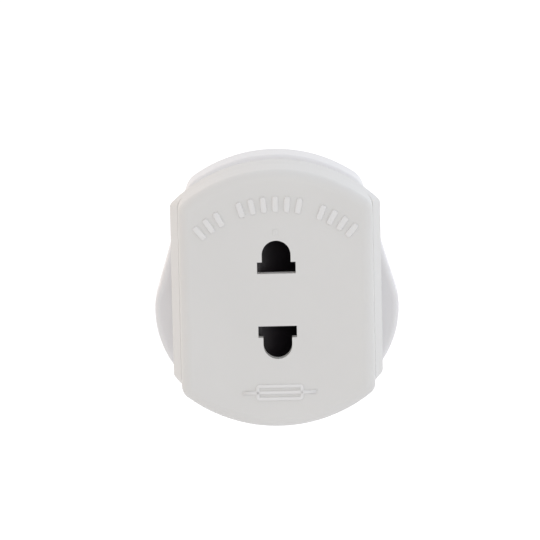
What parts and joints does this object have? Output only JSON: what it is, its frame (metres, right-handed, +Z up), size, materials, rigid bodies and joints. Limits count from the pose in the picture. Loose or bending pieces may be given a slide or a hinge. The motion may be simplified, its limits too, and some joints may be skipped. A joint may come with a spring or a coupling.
{
  "type": "shaver adapter plug",
  "caption": "White wall plug adapter for shavers: arched face with two shuttered openings for round or flat pins, on a flared base with rectangular plug pins and a pull-out fuse.",
  "frame": {"origin": "on the wall plane, midway between the two shaver openings", "axes": "+X to the right of someone facing the socket, +Y into the wall along the plug pins, +Z up towards the earth pin"},
  "size_m": [0.0486, 0.0537, 0.0514],
  "materials": {
    "white_plastic": "fine satin moulding",
    "carrier_plastic": "matt moulding",
    "black_plastic": "satin moulding",
    "sleeve_plastic": "satin moulding",
    "pin_brass": "drawn and tumbled",
    "strap_brass": "rolled strip",
    "plated_steel": "bright zinc",
    "spring_steel": "drawn wire",
    "fuse_ceramic": "unglazed",
    "cap_plating": "bright nickel"
  },
  "bodies": {
    "housing": {"front_cover": "white_plastic", "rear_base": "white_plastic", "earth_pin": "white_plastic", "contact_carrier": "carrier_plastic", "live_pin_sleeve": "sleeve_plastic", "neutral_pin_sleeve": "sleeve_plastic", "live_pin": "pin_brass", "neutral_pin": "pin_brass", "live_link": "strap_brass", "neutral_link": "strap_brass", "load_link": "strap_brass", "supply_fuse_clip": "strap_brass", "load_fuse_clip": "strap_brass", "live_contact": "strap_brass", "neutral_contact": "strap_brass", "contact_rivets": "strap_brass", "clip_rivets": "strap_brass", "case_screws": "plated_steel", "shutter_spring": "spring_steel"},
    "shutter": {"shutter": "black_plastic"},
    "fuse_holder": {"fuse_carrier": "white_plastic", "fuse_tube": "fuse_ceramic", "supply_fuse_cap": "cap_plating", "load_fuse_cap": "cap_plating"}
  },
  "joints": [
    {"name": "shutter_slide", "type": "slide", "parent": "housing", "child": "shutter", "axis": [-1, 0, 0], "range_m": [0, 0.0077], "stiffness_N_per_m": 60, "springref_m": -0.008, "deforming": ["shutter_spring"]},
    {"name": "fuse_carrier_pull", "type": "slide", "parent": "housing", "child": "fuse_holder", "axis": [0, 1, 0], "range_m": [0, 0.01]}
  ]
}
